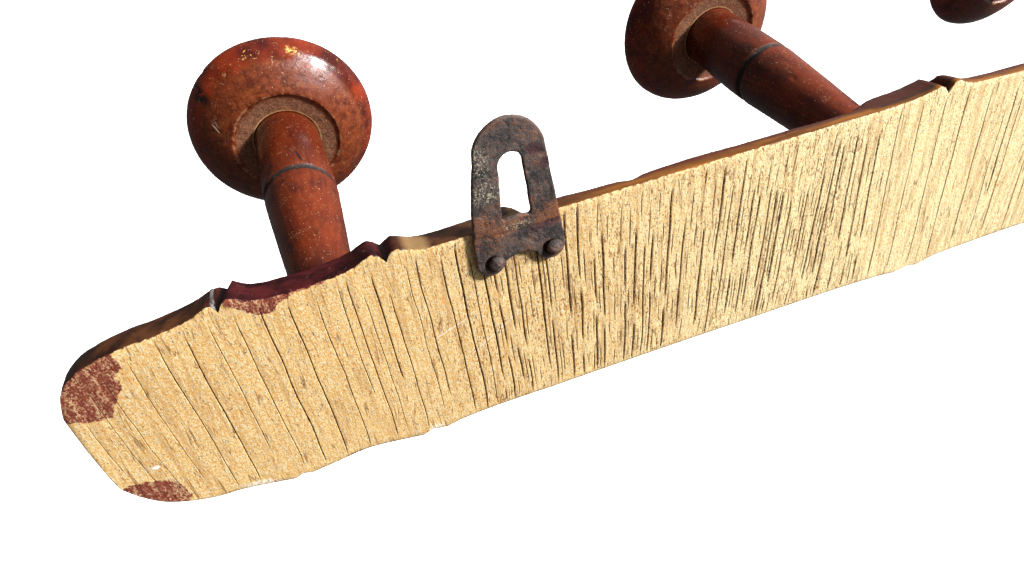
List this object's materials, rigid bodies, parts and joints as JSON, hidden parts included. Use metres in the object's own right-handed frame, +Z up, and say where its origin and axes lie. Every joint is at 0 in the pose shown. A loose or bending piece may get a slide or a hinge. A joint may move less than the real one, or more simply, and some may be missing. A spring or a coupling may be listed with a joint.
{
  "type": "wall peg rack",
  "caption": "Wall-hung coat and hat rack: a shaped wooden board with turned mushroom-headed pegs, hung by slotted iron plates nailed to its back.",
  "frame": {"origin": "on the board's back face, behind the middle peg, at the board's mid-height", "axes": "+X along the board, +Y out of the back into the wall, +Z up; the pegs stand out towards -Y and lean upward by 8.5 degrees"},
  "size_m": [0.501, 0.1576, 0.0949],
  "materials": {
    "board_wood": "raw sawn back, worn oxblood stain and varnish on the edges and front",
    "stained_wood": "glossy orange-red varnish over turned wood",
    "rusted_iron": "dull dark iron with orange rust"
  },
  "bodies": {
    "root": {"backboard": "board_wood", "peg_shaft_1": "stained_wood", "peg_shaft_2": "stained_wood", "peg_shaft_3": "stained_wood", "peg_head_1": "stained_wood", "peg_head_2": "stained_wood", "peg_head_3": "stained_wood", "hanger_plate_1": "rusted_iron", "hanger_plate_2": "rusted_iron", "hanger_nail_1": "rusted_iron", "hanger_nail_2": "rusted_iron", "hanger_nail_3": "rusted_iron", "hanger_nail_4": "rusted_iron"}
  },
  "joints": []
}
